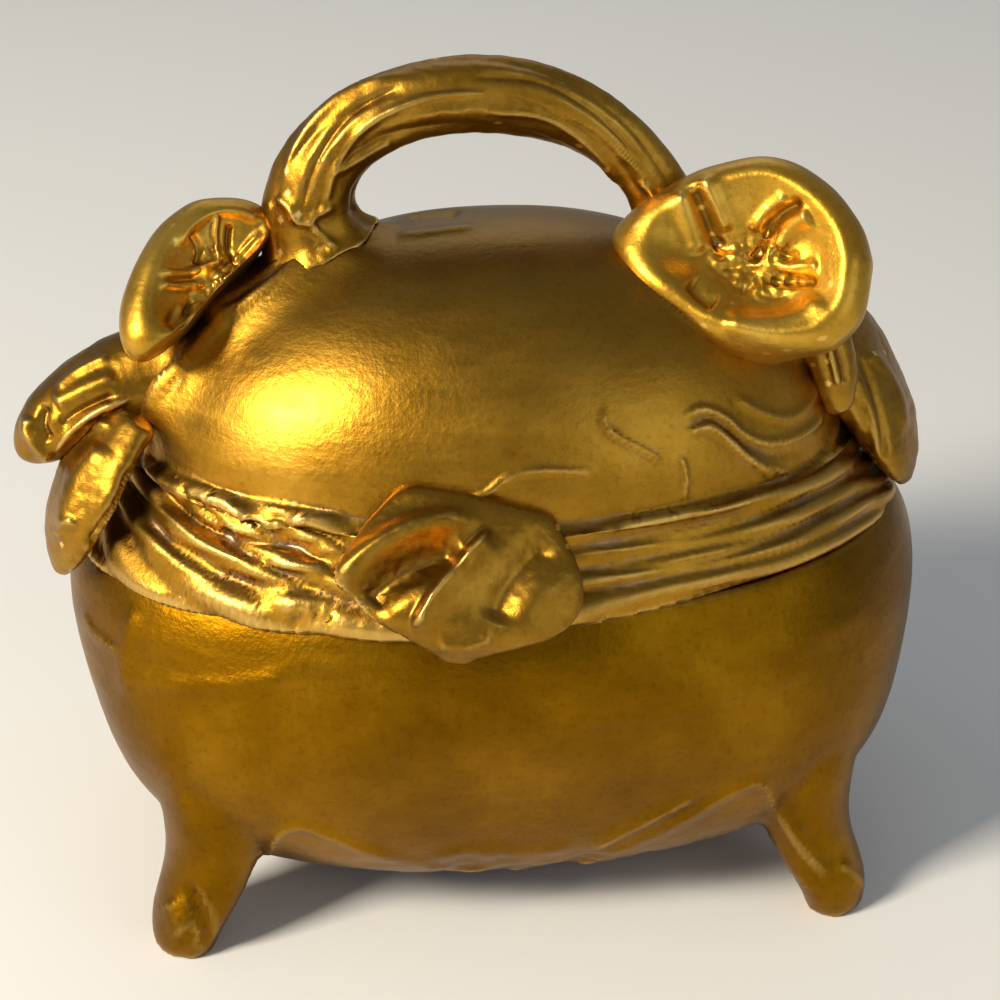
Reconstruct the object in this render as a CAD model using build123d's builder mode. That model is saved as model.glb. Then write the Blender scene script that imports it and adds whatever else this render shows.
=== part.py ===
# Footed oval jewelry casket of gilt cast metal, with a domed lid, an arched stem handle,
# two applied blooms, buds and leaves, a rear pin hinge and a silk lining. Millimetres.
# The origin is on the table, under the middle of the casket's outer box. The front faces -Y.
# Everything is drawn about the middle of the rim, and moved to the origin as it is saved.
from build123d import *
import os
from math import cos, pi, radians, sin

# Sizes used only for cutting: past a face, and a block larger than the casket
PAST = 1.0
BLOCK = 300.0

# Driving dimensions of the bowl
RIM_A = 53.0            # half width of the bowl's rim
RIM_B = 34.0            # half depth of the bowl's rim
RIM_Z = 52.0            # height of the rim above the table
BOTTOM_Z = 5.0          # height of the bowl's underside
# The bowl from its underside to its rim: height, how far its half width and its half depth
# stand out beyond the rim's, and the power of its plan, where 2 is an ellipse and more is squarer
BOWL_LEVELS = [
    (BOTTOM_Z, -21.0, -13.5, 2.2),
    (9.5, -11.5, -8.0, 2.6),
    (16.0, -5.4, -3.6, 3.2),
    (24.0, -1.2, -0.8, 3.4),
    (33.0, 1.8, 1.6, 2.8),
    (43.0, 3.4, 2.6, 2.2),
    (RIM_Z, 0.0, 0.0, 2.0),
]
BOWL_WALL = 2.4
FLOOR_THICK = 3.0
RECESS_DEPTH = 1.6      # recess under the bowl, inside its lip
RECESS_MARGIN = 3.0
FLOOR_RISE = 4.0        # height over which the inside of the wall curves into the floor
FLOOR_TUCK = 3.0        # how far the inside draws in over that height

# Driving dimensions of the lid
LID_GAP = 0.25          # air between the rim and the closed lid
BAND_HEIGHT = 8.0       # height of the band of stems round the dome
BAND_WIDTH = 7.0        # how far the band steps in towards the dome
BAND_RIBS = 4           # stems cast round the band
RIB_BULGE = 0.8
BAND_CURVE = 1.4        # more than 1 makes the band steeper at its foot
DOME_HEIGHT = 34.0
LID_WALL = 2.2
LID_EDGE = 5.4          # width of the lid's flat edge
LEDGE = 3.0             # depth of the step that the lid's card sits in

# Driving dimensions of the legs, as stations: reach beyond the rim, height, tilt, radius
LEG_ANGLE = 29.5        # angle of a leg from the long axis, seen from above
LEG_STATIONS = [
    (-5.7, 39.0, 10, 4.0),
    (-1.7, 30.5, 8, 6.6),
    (-1.1, 22.5, 2, 7.4),
    (-1.0, 15.5, -2, 7.0),
    (0.5, 10.0, -8, 6.6),
    (2.7, 5.5, -14, 6.2),
    (3.8, 2.4, -20, 5.4),
    (4.2, -2.5, -20, 4.4),
]
SOLID_FOOT = 2          # stations at the foot that the hollow back leaves solid
LEG_HOLLOW_SHIFT = 3.4
LEG_HOLLOW = 0.7        # the hollow's size as a share of the leg's
LEG_DEPTH = 0.92        # a leg's depth as a share of its width

# Driving dimensions of the hinge
PIN_R = 1.2
PEEN = 1.0              # length of the pin's flattened ends
PEEN_SPREAD = 1.4       # width of the flattened ends, as a share of the pin's
PIN_FIT = 0.05
KNUCKLE_R = 2.7
KNUCKLE_REACH = 3.6     # pin axis behind the rim
LID_KNUCKLE = 9.0
BASE_KNUCKLE = 6.0
SIDE_PLAY = 0.3
HINGE_AIR = 0.5         # air round a knuckle in the other casting
TONGUE_ROOT = 2.0       # how far a knuckle's tongue runs into its casting
BASE_TONGUE = 0.8       # thickness and drop of the bowl's tongues, as shares of the knuckle
BASE_TONGUE_DROP = 0.6
LID_TONGUE = 0.9

# Driving dimensions of the blooms, buds and leaves
BLOOM_R = 14.0
BLOOM_DEPTH = 14.0
SMALL_BLOOM_R = 10.4
SMALL_BLOOM_DEPTH = 11.2
PETAL_LOBE = 0.05       # how far a petal's edge stands out, as a share of the radius
PETALS = 4
# A bloom's outside from its back to its mouth, then its inside from its floor: depth below the
# mouth as a share of the whole, radius as a share, petal lobe
BLOOM_OUTSIDE = [(1.0, 0.5, 0), (0.55, 0.86, 0.02), (0.15, 1.0, PETAL_LOBE), (0.0, 0.93, PETAL_LOBE)]
BLOOM_INSIDE = [(0.34, 0.32, 0), (0.153, 0.64, PETAL_LOBE), (-0.08, 0.84, PETAL_LOBE)]
BOSS_R = 0.17           # the boss in a bloom's floor, and how deep it sits, as shares of the radius
BOSS_DROP = 0.02
HANG_AIR = 0.5          # air between a hanging leaf and the bowl

# Driving dimensions of the lining
LINING_THICK = 1.2
LINING_AIR = 0.3
LINING_DROP = 1.2       # top of the silk wall below the rim
CARD_THICK = 1.0
CARD_MARGIN = 3.0       # air round the floor's card, where the silk wall curves in
FLOOR_PAD_CROWN = 5.0
LID_PAD_CROWN = 3.2
PAD_ROLL = 0.32         # radius of a pad's drawn-in side, as a share of its crown
PAD_SHOULDER = 0.93     # height half way in, as a share of the crown
PAD_RISE = 0.35         # how steeply the top starts from the side
CORD_R = 0.9

# The handle from the top of the dome, as stations: place, half width, half thickness
HANDLE_STATIONS = [
    ((-19.0, 2.0, -12.25), 7.8, 7.2),
    ((-21.6, 2.0, -3.75), 7.6, 7.0),
    ((-22.8, 2.0, 3.25), 6.2, 5.8),
    ((-19.0, 2.0, 10.35), 5.5, 5.1),
    ((-10.0, 2.0, 14.95), 5.2, 4.8),
    ((2.0, 2.0, 15.55), 5.1, 4.7),
    ((12.0, 2.0, 11.95), 4.7, 4.4),
    ((19.0, 2.0, 5.75), 4.4, 4.2),
    ((24.0, 2.0, -3.25), 5.0, 4.6),
    ((26.5, 2.0, -12.25), 5.6, 5.0),
]
# The blooms' mouths, from the end of the dome's foot and its top, and the way they face
RIGHT_BLOOM_AT = (-15.2, -13.4, -1.45)
RIGHT_BLOOM_FACES = (-0.3, -0.78, 0.55)
LEFT_BLOOM_AT = (12.4, -6.6, -2.65)
LEFT_BLOOM_FACES = (0.3, -0.65, 0.7)
# The small bud beside the right bloom, from the same place as the bloom
RIGHT_BUD_STATIONS = [
    ((-8.0, -7.0, -10.25), 2.6, 2.6),
    ((-4.4, -9.0, -14.25), 3.0, 2.8),
    ((-2.8, -10.4, -18.75), 2.4, 2.2),
    ((-2.6, -11.0, -22.75), 1.0, 0.9),
]
# The bud and the leaves at the rim, from the end or the front of the lid's edge
LEFT_BUD_STATIONS = [
    ((16.0, 0.0, 23.75), 4.4, 4.0),
    ((7.0, -1.0, 19.75), 6.0, 5.2),
    ((-0.5, -2.0, 15.75), 6.0, 5.0),
    ((-6.5, -3.0, 11.25), 3.4, 3.0),
    ((-8.0, -3.2, 9.75), 1.2, 1.0),
]
LEFT_LEAF_STATIONS = [
    ((7.0, -8.5, 16.75), 3.6, 1.8),
    ((1.5, -10.0, 10.25), 6.8, 2.4),
    ((-2.0, -10.5, 3.25), 6.0, 2.2),
    ((-3.8, -10.5, -3.25), 1.4, 0.9),
]
FRONT_LEAF_STATIONS = [
    ((-5.0, 5.4, 12.35), 8.0, 1.8),
    ((-6.2, 1.4, 8.95), 13.4, 2.4),
    ((-7.4, -2.2, 3.95), 13.8, 2.6),
    ((-8.2, -4.0, -0.05), 8.0, 2.2),
    ((-8.6, -4.3, -2.85), 1.8, 0.9),
]
RIGHT_LEAF_STATIONS = [
    ((-13.0, 1.0, 24.75), 6.0, 2.6),
    ((-5.5, -1.0, 17.75), 9.0, 3.4),
    ((-1.0, -4.0, 8.75), 8.4, 3.2),
    ((2.4, -6.0, 1.25), 5.0, 1.8),
    ((3.4, -6.4, -1.75), 1.8, 0.9),
]
# The way that each of them, and the handle, turns its broad face
HANDLE_FACES = (0.0, -1.0, 0.0)
LEFT_BUD_FACES = (-0.5, -0.3, 0.8)
LEFT_LEAF_FACES = (-0.8, -0.4, 0.3)
FRONT_LEAF_FACES = (0.0, -0.9, 0.4)
RIGHT_LEAF_FACES = (0.8, -0.35, 0.4)
RIGHT_BUD_FACES = (0.5, -0.3, 0.8)

# The middle of the casket's outer box from the middle of its rim; the origin is under it
BOX_MIDDLE_X = -2.0

# Places that follow from the driving dimensions
LID_Z = RIM_Z + LID_GAP
DOME_Z = LID_Z + BAND_HEIGHT * 0.5
DOME_A = RIM_A - BAND_WIDTH
SQUASH = RIM_B / RIM_A
DOME_TOP = DOME_Z + DOME_HEIGHT
HINGE_Y = RIM_B + KNUCKLE_REACH
HINGE_Z = RIM_Z + LID_GAP / 2
FLOOR_Z = BOTTOM_Z + RECESS_DEPTH + FLOOR_THICK
HINGE_WIDTH = LID_KNUCKLE + 2 * (BASE_KNUCKLE + SIDE_PLAY)
KNUCKLE_X = (LID_KNUCKLE + BASE_KNUCKLE) / 2 + SIDE_PLAY
TONGUE = KNUCKLE_REACH + TONGUE_ROOT
LINING_TOP = RIM_Z - LINING_DROP
RIM_REACH = ((cos(radians(LEG_ANGLE)) / RIM_A) ** 2 + (sin(radians(LEG_ANGLE)) / RIM_B) ** 2) ** -0.5
LID_TOP = (0.0, 0.0, DOME_TOP)
RIGHT_SHOULDER = (DOME_A, 0.0, DOME_TOP)
LEFT_SHOULDER = (-DOME_A, 0.0, DOME_TOP)
RIGHT_END = (RIM_A, 0.0, LID_Z)
LEFT_END = (-RIM_A, 0.0, LID_Z)
LID_FRONT = (0.0, -RIM_B, LID_Z)
LINED_INSET = BOWL_WALL + 2 * LINING_AIR + LINING_THICK
OUTLINE_POINTS = 24     # places that each level outline is drawn through


def skin(ovals):
    """A smooth solid through ovals, each given as its plane and its two radii."""
    faces = []
    for plane, radius_x, radius_y in ovals:
        with BuildSketch(plane) as oval:
            Ellipse(radius_x, radius_y)
        faces.append(oval.sketch)
    with BuildPart() as form:
        loft(sections=faces)
    return form.part


def level_skin(sections):
    """A smooth solid through level outlines: height, half width, half depth, plan power."""
    faces = []
    for z, half_width, half_depth, power in sections:
        places = []
        for i in range(OUTLINE_POINTS):
            turn = 2 * pi * i / OUTLINE_POINTS
            size = (abs(cos(turn)) ** power + abs(sin(turn)) ** power) ** (-1 / power)
            places.append((half_width * size * cos(turn), half_depth * size * sin(turn)))
        with BuildSketch(Plane.XY.offset(z)) as outline:
            with BuildLine():
                Spline(*places, periodic=True)
            make_face()
        faces.append(outline.sketch)
    with BuildPart() as form:
        loft(sections=faces)
    return form.part


def bowl_sections(inset):
    """The bowl's levels drawn in by inset."""
    return [(z, RIM_A + width_swell - inset, RIM_B + depth_swell - inset, power)
            for z, width_swell, depth_swell, power in BOWL_LEVELS]


def level_size(z, inset):
    """Half width, half depth and plan power of the bowl, drawn in by inset, at height z."""
    levels = bowl_sections(inset)
    for lower, upper in zip(levels, levels[1:]):
        if z <= upper[0]:
            share = (z - lower[0]) / (upper[0] - lower[0])
            return [low + (high - low) * share for low, high in zip(lower[1:], upper[1:])]
    return list(levels[-1][1:])


def cavity_sections(inset, floor_z, top_z):
    """The bowl's inside from its floor up, as outlines that follow the wall."""
    curve_z = floor_z + FLOOR_RISE
    heights = [floor_z, curve_z]
    heights += [level[0] for level in BOWL_LEVELS[:-1] if level[0] > curve_z + PAST] + [top_z]
    sections = []
    for z in heights:
        half_width, half_depth, power = level_size(min(z, RIM_Z), inset)
        tuck = FLOOR_TUCK if z == floor_z else 0.0
        sections.append((z, half_width - tuck, half_depth - tuck, power))
    return sections


def spun(edges, arc_radii, top_z, squash):
    """A profile spun into an oval: edges from the middle outwards, each given as its start, its
    end and its bulge, then an arc up to the top of a dome."""
    with BuildPart() as form:
        with BuildSketch(Plane.XZ):
            with BuildLine():
                for start, end, bulge in edges:
                    if bulge:
                        lean = Vector(end[1] - start[1], start[0] - end[0]).normalized() * bulge
                        middle = ((start[0] + end[0]) / 2 + lean.X, (start[1] + end[1]) / 2 + lean.Y)
                        ThreePointArc(start, middle, end)
                    else:
                        Line(start, end)
                EllipticalCenterArc((0, top_z - arc_radii[1]), *arc_radii, start_angle=0, arc_size=90)
                Line((0, top_z), edges[0][0])
            make_face()
        revolve(axis=Axis.Z)
        scale(by=(1, squash, 1))
    return form.part


def lid_outline():
    """The lid's outside in section: a flat edge, ribs that climb inwards, then the dome."""
    marks = []
    for i in range(BAND_RIBS + 1):
        share = i / BAND_RIBS
        marks.append((RIM_A - BAND_WIDTH * share ** BAND_CURVE, LID_Z + BAND_HEIGHT * share))
    edges = [((0, LID_Z), marks[0], 0)]
    for lower, upper in zip(marks, marks[1:]):
        edges.append((lower, upper, RIB_BULGE))
    return edges, (DOME_A, DOME_TOP - LID_Z - BAND_HEIGHT)


def blade(stations, start, outward):
    """A leaf, bud or stem as a skin through stations from start: place, half width, thickness."""
    ovals = []
    for i, (point, width, thick) in enumerate(stations):
        after = Vector(*stations[min(i + 1, len(stations) - 1)][0])
        before = Vector(*stations[max(i - 1, 0)][0])
        along = (after - before).normalized()
        across = along.cross(Vector(*outward)).normalized()
        middle = Vector(*start) + Vector(*point)
        ovals.append((Plane(origin=middle, x_dir=across, z_dir=along), width, thick))
    return skin(ovals)


def lobed_skin(sections, radius, depth):
    """A smooth solid through level outlines with petal lobes, in shares of radius and depth."""
    faces = []
    for down, share, lobe in sections:
        places = []
        for i in range(OUTLINE_POINTS):
            turn = 2 * pi * i / OUTLINE_POINTS
            size = radius * share * (1 + lobe * cos(PETALS * turn))
            places.append((size * cos(turn), size * sin(turn)))
        with BuildSketch(Plane.XY.offset(-depth * down)) as outline:
            with BuildLine():
                Spline(*places, periodic=True)
            make_face()
        faces.append(outline.sketch)
    with BuildPart() as form:
        loft(sections=faces)
    return form.part


def bloom(radius, depth):
    """An open bloom with its mouth up: a thick cup with lobed petals round a low boss."""
    with BuildPart() as form:
        add(lobed_skin(BLOOM_OUTSIDE, radius, depth))
        add(lobed_skin(BLOOM_INSIDE, radius, depth), mode=Mode.SUBTRACT)
        with Locations((0, 0, -depth * BLOOM_INSIDE[0][0] - radius * BOSS_DROP)):
            Sphere(radius * BOSS_R)
    return form.part


def facing(start, point, normal):
    """A place at point from start whose own up leans along normal."""
    middle = Vector(*start) + Vector(*point)
    return Plane(origin=middle, x_dir=(1, 0, -normal[0] / normal[2]), z_dir=normal).location


def leg_form(stations, shift, grow):
    """The front right leg as a skin through tilted ovals; shift moves it inwards."""
    outward = Vector(cos(radians(LEG_ANGLE)), -sin(radians(LEG_ANGLE)), 0)
    across = outward.cross(Vector(0, 0, 1))
    ovals = []
    for reach, z, tilt, radius in stations:
        normal = Vector(0, 0, 1).rotate(Axis((0, 0, 0), across), tilt)
        middle = outward * (RIM_REACH + reach - shift) + Vector(0, 0, z)
        size = radius * grow
        ovals.append((Plane(origin=middle, x_dir=across, z_dir=normal), size, size * LEG_DEPTH))
    return skin(ovals)


def ring(half_width, half_depth, height, radius):
    """An oval ring of round cord."""
    with BuildPart() as form:
        with BuildSketch(Plane.XZ):
            with Locations((half_width, height)):
                Circle(radius)
        revolve(axis=Axis.Z)
        scale(by=(1, half_depth / half_width, 1))
    return form.part


def cushion(half_width, half_depth, low_z, crown):
    """A stuffed pad: flat below, with drawn-in sides and a crown."""
    roll = crown * PAD_ROLL
    with BuildPart() as form:
        with BuildSketch(Plane.XZ):
            with BuildLine():
                under = Line((0, low_z), (half_width - roll, low_z))
                side = ThreePointArc(under @ 1, (half_width, low_z + roll),
                                     (half_width - roll, low_z + 2 * roll))
                crest = Spline(side @ 1, (half_width / 2, low_z + crown * PAD_SHOULDER),
                               (0, low_z + crown), tangents=[(-1, PAD_RISE), (-1, 0)])
                Line(crest @ 1, under @ 0)
            make_face()
        revolve(axis=Axis.Z)
        scale(by=(1, half_depth / half_width, 1))
    return form.part


# The bowl with its four legs and the outer hinge knuckles, one casting
with BuildPart() as leg:
    add(leg_form(LEG_STATIONS, 0, 1))
    add(leg_form(LEG_STATIONS[:-SOLID_FOOT], LEG_HOLLOW_SHIFT, LEG_HOLLOW), mode=Mode.SUBTRACT)
    with Locations((0, 0, -BLOCK / 2)):
        Box(BLOCK, BLOCK, BLOCK, mode=Mode.SUBTRACT)

with BuildPart() as base_casting:
    add(level_skin(bowl_sections(0)))
    for side in (1, -1):
        with Locations((side * KNUCKLE_X, HINGE_Y - TONGUE / 2, HINGE_Z - KNUCKLE_R * BASE_TONGUE_DROP)):
            Box(BASE_KNUCKLE, TONGUE, KNUCKLE_R * BASE_TONGUE)
        with Locations(Location((side * KNUCKLE_X, HINGE_Y, HINGE_Z), (0, 90, 0))):
            Cylinder(KNUCKLE_R, BASE_KNUCKLE)
    add(leg.part)
    add(leg.part.mirror(Plane.YZ))
    add(leg.part.mirror(Plane.XZ))
    add(leg.part.mirror(Plane.YZ).mirror(Plane.XZ))
    add(level_skin(cavity_sections(BOWL_WALL, FLOOR_Z, RIM_Z + PAST)), mode=Mode.SUBTRACT)
    with BuildSketch(Plane.XY.offset(BOTTOM_Z)):
        Ellipse(*level_size(BOTTOM_Z, RECESS_MARGIN)[:2])
    extrude(amount=RECESS_DEPTH, mode=Mode.SUBTRACT)
    with Locations(Location((0, HINGE_Y, HINGE_Z), (0, 90, 0))):
        Cylinder(PIN_R, HINGE_WIDTH + 2 * PAST, mode=Mode.SUBTRACT)
        Cylinder(KNUCKLE_R + HINGE_AIR, LID_KNUCKLE + 2 * SIDE_PLAY, mode=Mode.SUBTRACT)

# The hinge pin, tight in the bowl's knuckles, with its ends peened over
with BuildPart() as hinge_pin:
    with Locations(Location((0, HINGE_Y, HINGE_Z), (0, 90, 0))):
        Cylinder(PIN_R, HINGE_WIDTH)
    for side in (1, -1):
        with Locations(Location((side * (HINGE_WIDTH + PEEN) / 2, HINGE_Y, HINGE_Z), (0, 90, 0))):
            Cylinder(PIN_R * PEEN_SPREAD, PEEN)

# The lid's outside as a filled form, so that what is soldered on can seat on it
outline_edges, dome_radii = lid_outline()
lid_outside = spun(outline_edges, dome_radii, DOME_TOP, SQUASH)
opening_a = RIM_A - LID_EDGE
opening_b = RIM_B - LID_EDGE
inner_a = DOME_A - LID_WALL
ledge_z = LID_Z + LEDGE
with BuildPart() as lid_casting:
    add(lid_outside)
    with Locations((0, HINGE_Y - TONGUE / 2, LID_Z + KNUCKLE_R * LID_TONGUE / 2)):
        Box(LID_KNUCKLE, TONGUE, KNUCKLE_R * LID_TONGUE)
    with Locations(Location((0, HINGE_Y, HINGE_Z), (0, 90, 0))):
        Cylinder(KNUCKLE_R, LID_KNUCKLE)
    add(spun([((0, LID_Z - PAST), (opening_a, LID_Z - PAST), 0),
              ((opening_a, LID_Z - PAST), (opening_a, ledge_z), 0),
              ((opening_a, ledge_z), (inner_a, ledge_z), 0)],
             (inner_a, DOME_TOP - LID_WALL - ledge_z), DOME_TOP - LID_WALL,
             opening_b / opening_a), mode=Mode.SUBTRACT)
    with Locations(Location((0, HINGE_Y, HINGE_Z), (0, 90, 0))):
        Cylinder(PIN_R + PIN_FIT, HINGE_WIDTH, mode=Mode.SUBTRACT)
    for side in (1, -1):
        with Locations(Location((side * KNUCKLE_X, HINGE_Y, HINGE_Z), (0, 90, 0))):
            Cylinder(KNUCKLE_R + HINGE_AIR, BASE_KNUCKLE + 2 * SIDE_PLAY, mode=Mode.SUBTRACT)

# Cast parts soldered on: each is cut to the lid's outside, and clears the bowl
bowl_clear = level_skin(bowl_sections(-HANG_AIR))


def soldered(form, *seats):
    """A cast part cut back to what it is soldered to, as one solid."""
    with BuildPart() as cut_back:
        add(form)
        for seat in seats:
            add(seat, mode=Mode.SUBTRACT)
    return max(cut_back.part.solids(), key=lambda piece: piece.volume)


with BuildPart() as handle:
    add(soldered(blade(HANDLE_STATIONS, LID_TOP, HANDLE_FACES), lid_outside))

with BuildPart() as right_bloom:
    place = facing(RIGHT_SHOULDER, RIGHT_BLOOM_AT, RIGHT_BLOOM_FACES)
    add(soldered(bloom(BLOOM_R, BLOOM_DEPTH).moved(place), lid_outside, handle.part))

with BuildPart() as left_bloom:
    place = facing(LEFT_SHOULDER, LEFT_BLOOM_AT, LEFT_BLOOM_FACES)
    add(soldered(bloom(SMALL_BLOOM_R, SMALL_BLOOM_DEPTH).moved(place), lid_outside, handle.part))

with BuildPart() as left_bud:
    add(soldered(blade(LEFT_BUD_STATIONS, LEFT_END, LEFT_BUD_FACES), lid_outside, left_bloom.part))

with BuildPart() as left_leaf:
    add(soldered(blade(LEFT_LEAF_STATIONS, LEFT_END, LEFT_LEAF_FACES),
                 lid_outside, bowl_clear, left_bud.part))

with BuildPart() as front_leaf:
    add(soldered(blade(FRONT_LEAF_STATIONS, LID_FRONT, FRONT_LEAF_FACES), lid_outside, bowl_clear))

with BuildPart() as right_leaf:
    add(soldered(blade(RIGHT_LEAF_STATIONS, RIGHT_END, RIGHT_LEAF_FACES),
                 lid_outside, bowl_clear, right_bloom.part))

with BuildPart() as right_bud:
    add(soldered(blade(RIGHT_BUD_STATIONS, RIGHT_SHOULDER, RIGHT_BUD_FACES),
                 lid_outside, right_bloom.part, right_leaf.part))

# The bowl's lining: a silk wall, a card on the floor with a stuffed pad on it, and a cord
with BuildPart() as wall_lining:
    add(level_skin(cavity_sections(BOWL_WALL + LINING_AIR, FLOOR_Z, RIM_Z + PAST)))
    add(level_skin(cavity_sections(BOWL_WALL + LINING_AIR + LINING_THICK, FLOOR_Z, RIM_Z + PAST)),
        mode=Mode.SUBTRACT)
    with Locations((0, 0, LINING_TOP + BLOCK / 2)):
        Box(BLOCK, BLOCK, BLOCK, mode=Mode.SUBTRACT)

floor_size = level_size(FLOOR_Z, LINED_INSET)
floor_a = floor_size[0] - CARD_MARGIN
floor_b = floor_size[1] - CARD_MARGIN
with BuildPart() as floor_card:
    with BuildSketch(Plane.XY.offset(FLOOR_Z)):
        Ellipse(floor_a, floor_b)
    extrude(amount=CARD_THICK)

with BuildPart() as floor_pad:
    add(cushion(floor_a, floor_b, FLOOR_Z + CARD_THICK + LINING_AIR, FLOOR_PAD_CROWN))

cord_size = level_size(LINING_TOP, LINED_INSET + CORD_R)
with BuildPart() as base_cord:
    add(ring(cord_size[0], cord_size[1], LINING_TOP - CORD_R, CORD_R))

# The lid's lining: a card against the ledge, a stuffed pad under it, and a cord round that
with BuildPart() as lid_card:
    with BuildSketch(Plane.XY.offset(ledge_z - CARD_THICK)):
        Ellipse(opening_a - LINING_AIR, opening_b - LINING_AIR)
    extrude(amount=CARD_THICK)

pad_z = ledge_z - CARD_THICK - LINING_AIR
cord_inset = LINING_AIR + CORD_R
with BuildPart() as lid_cord:
    add(ring(opening_a - cord_inset, opening_b - cord_inset, pad_z - CORD_R, CORD_R))

upright_pad = cushion(opening_a - 2 * cord_inset, opening_b - 2 * cord_inset, 0, LID_PAD_CROWN)
with BuildPart() as lid_pad:
    add(upright_pad.mirror(Plane.XY).moved(Location((0, 0, pad_z))))

PARTS = {
    "base_casting": base_casting.part,
    "hinge_pin": hinge_pin.part,
    "wall_lining": wall_lining.part,
    "floor_card": floor_card.part,
    "floor_pad": floor_pad.part,
    "base_cord": base_cord.part,
    "lid_casting": lid_casting.part,
    "handle": handle.part,
    "right_bloom": right_bloom.part,
    "left_bloom": left_bloom.part,
    "right_bud": right_bud.part,
    "left_bud": left_bud.part,
    "left_leaf": left_leaf.part,
    "front_leaf": front_leaf.part,
    "right_leaf": right_leaf.part,
    "lid_card": lid_card.part,
    "lid_pad": lid_pad.part,
    "lid_cord": lid_cord.part,
}
os.makedirs("parts", exist_ok=True)
for name, piece in PARTS.items():
    piece = piece.moved(Location((-BOX_MIDDLE_X, 0, 0)))
    piece.label = name
    export_step(piece, "parts/" + name + ".step")
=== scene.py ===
from math import cos, pi, radians, sin

import bpy
from mathutils import Matrix, Vector, noise
import numpy as np


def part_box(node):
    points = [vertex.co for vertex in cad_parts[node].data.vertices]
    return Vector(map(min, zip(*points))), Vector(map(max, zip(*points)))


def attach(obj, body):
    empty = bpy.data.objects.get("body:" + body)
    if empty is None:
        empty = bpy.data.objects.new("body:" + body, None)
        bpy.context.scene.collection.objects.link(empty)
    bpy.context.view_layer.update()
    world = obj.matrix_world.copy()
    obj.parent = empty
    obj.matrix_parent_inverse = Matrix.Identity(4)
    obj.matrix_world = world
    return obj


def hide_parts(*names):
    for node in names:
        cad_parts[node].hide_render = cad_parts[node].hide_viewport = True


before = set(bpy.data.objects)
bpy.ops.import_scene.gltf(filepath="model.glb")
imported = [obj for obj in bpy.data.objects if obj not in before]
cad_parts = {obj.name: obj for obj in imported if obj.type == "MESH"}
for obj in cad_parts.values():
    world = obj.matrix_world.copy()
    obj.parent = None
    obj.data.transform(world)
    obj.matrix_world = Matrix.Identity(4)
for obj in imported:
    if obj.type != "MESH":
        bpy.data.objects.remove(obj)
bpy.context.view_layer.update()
MM = 0.001
MIDDLE = np.array([2.0, 0.0, 0.0])

# Sizes shared with the CAD model
RIM_A, RIM_B = 53.0, 34.0
LID_Z = 52.25
BAND_TOP = 60.25
DOME_A, DOME_B, DOME_RISE = 46.0, 29.5, 30.0
LID_HEART = np.array([0.0, 0.0, LID_Z])
BOWL_HEART = np.array([0.0, 0.0, 34.0])
HANDLE_LINE = [(-19, 78), (-21.6, 86.5), (-22.8, 93.5), (-19, 100.6), (-10, 105.2), (2, 105.8),
               (12, 102.2), (19, 96), (24, 87), (26.5, 78)]
HANDLE_Y = 2.0
RIGHT_BLOOM_AT = np.array([30.8, -13.4, 88.8])
RIGHT_BLOOM_FACES = np.array([-0.3, -0.78, 0.55])
LEFT_BLOOM_AT = np.array([-33.6, -6.6, 87.6])
LEFT_BLOOM_FACES = np.array([0.3, -0.65, 0.7])

# The photograph's camera, fitted to the casket's outline, in the photograph's pixels
CAMERA_AT = np.array([-29.71, -290.25, 205.57])
CAMERA_ELEVATION, CAMERA_TURN = radians(28.0), radians(-6.0)
FOCAL, HALF = 2480.0, 500.0
PX_PER_MM = 7.45
FORWARD = np.array([-sin(CAMERA_TURN) * cos(CAMERA_ELEVATION),
                    cos(CAMERA_TURN) * cos(CAMERA_ELEVATION),
                    -sin(CAMERA_ELEVATION)])
RIGHT = np.array([cos(CAMERA_TURN), sin(CAMERA_TURN), 0.0])
ABOVE = np.cross(RIGHT, FORWARD)

# How far apart two points of a CAD mesh may be and still be one, and how strongly a pass smooths
MERGE = 0.002
SMOOTHING = 0.5
# How far the noise moves for each seed, and how square the strands' section is
SEED_STEP = (7.3, 3.1, 5.7)
STRAND_POWER = 1.7


# Helpers for meshes
def select(obj):
    """Make obj the only selected object, ready for an operator."""
    bpy.ops.object.select_all(action="DESELECT")
    obj.select_set(True)
    bpy.context.view_layer.objects.active = obj


def finish_modifiers(obj):
    """Apply obj's modifiers in order."""
    select(obj)
    for modifier in list(obj.modifiers):
        bpy.ops.object.modifier_apply(modifier=modifier.name)


def relax(obj, steps):
    """Apply obj's modifiers, and then smooth its skin that many times."""
    smooth = obj.modifiers.new("relax", "SMOOTH")
    smooth.factor = SMOOTHING
    smooth.iterations = steps
    finish_modifiers(obj)


def read_points(obj):
    """obj's vertices in millimetres from the middle of the rim."""
    flat = np.empty(len(obj.data.vertices) * 3)
    obj.data.vertices.foreach_get("co", flat)
    return flat.reshape(-1, 3) / MM - MIDDLE


def read_normals(obj):
    """obj's vertex normals, as an array."""
    flat = np.empty(len(obj.data.vertices) * 3)
    obj.data.vertex_normals.foreach_get("vector", flat)
    return flat.reshape(-1, 3)


def write_points(obj, points):
    """Put obj's vertices at points, in millimetres from the middle of the rim."""
    obj.data.vertices.foreach_set("co", ((points + MIDDLE) * MM).ravel())
    obj.data.update()


def push(obj, depths):
    """Move each vertex of obj along its normal by its own depth in millimetres."""
    write_points(obj, read_points(obj) + read_normals(obj) * depths[:, None])


def lumps(points, size, seed):
    """Smooth seeded noise from about -1 to 1 at each point, with features of that size in mm."""
    shift = Vector([seed * step for step in SEED_STEP])
    return np.array([noise.noise(Vector(p) / size + shift) for p in points])


def rough(points, layers):
    """Layers of noise added up: each row says how high it stands, how wide it is, and its seed."""
    return sum(height * lumps(points, size, seed) for height, size, seed in layers)


def ease(value, low, high):
    """0 below low, 1 above high, with a soft climb between."""
    share = np.clip((value - low) / (high - low), 0, 1)
    return share * share * (3 - 2 * share)


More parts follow.
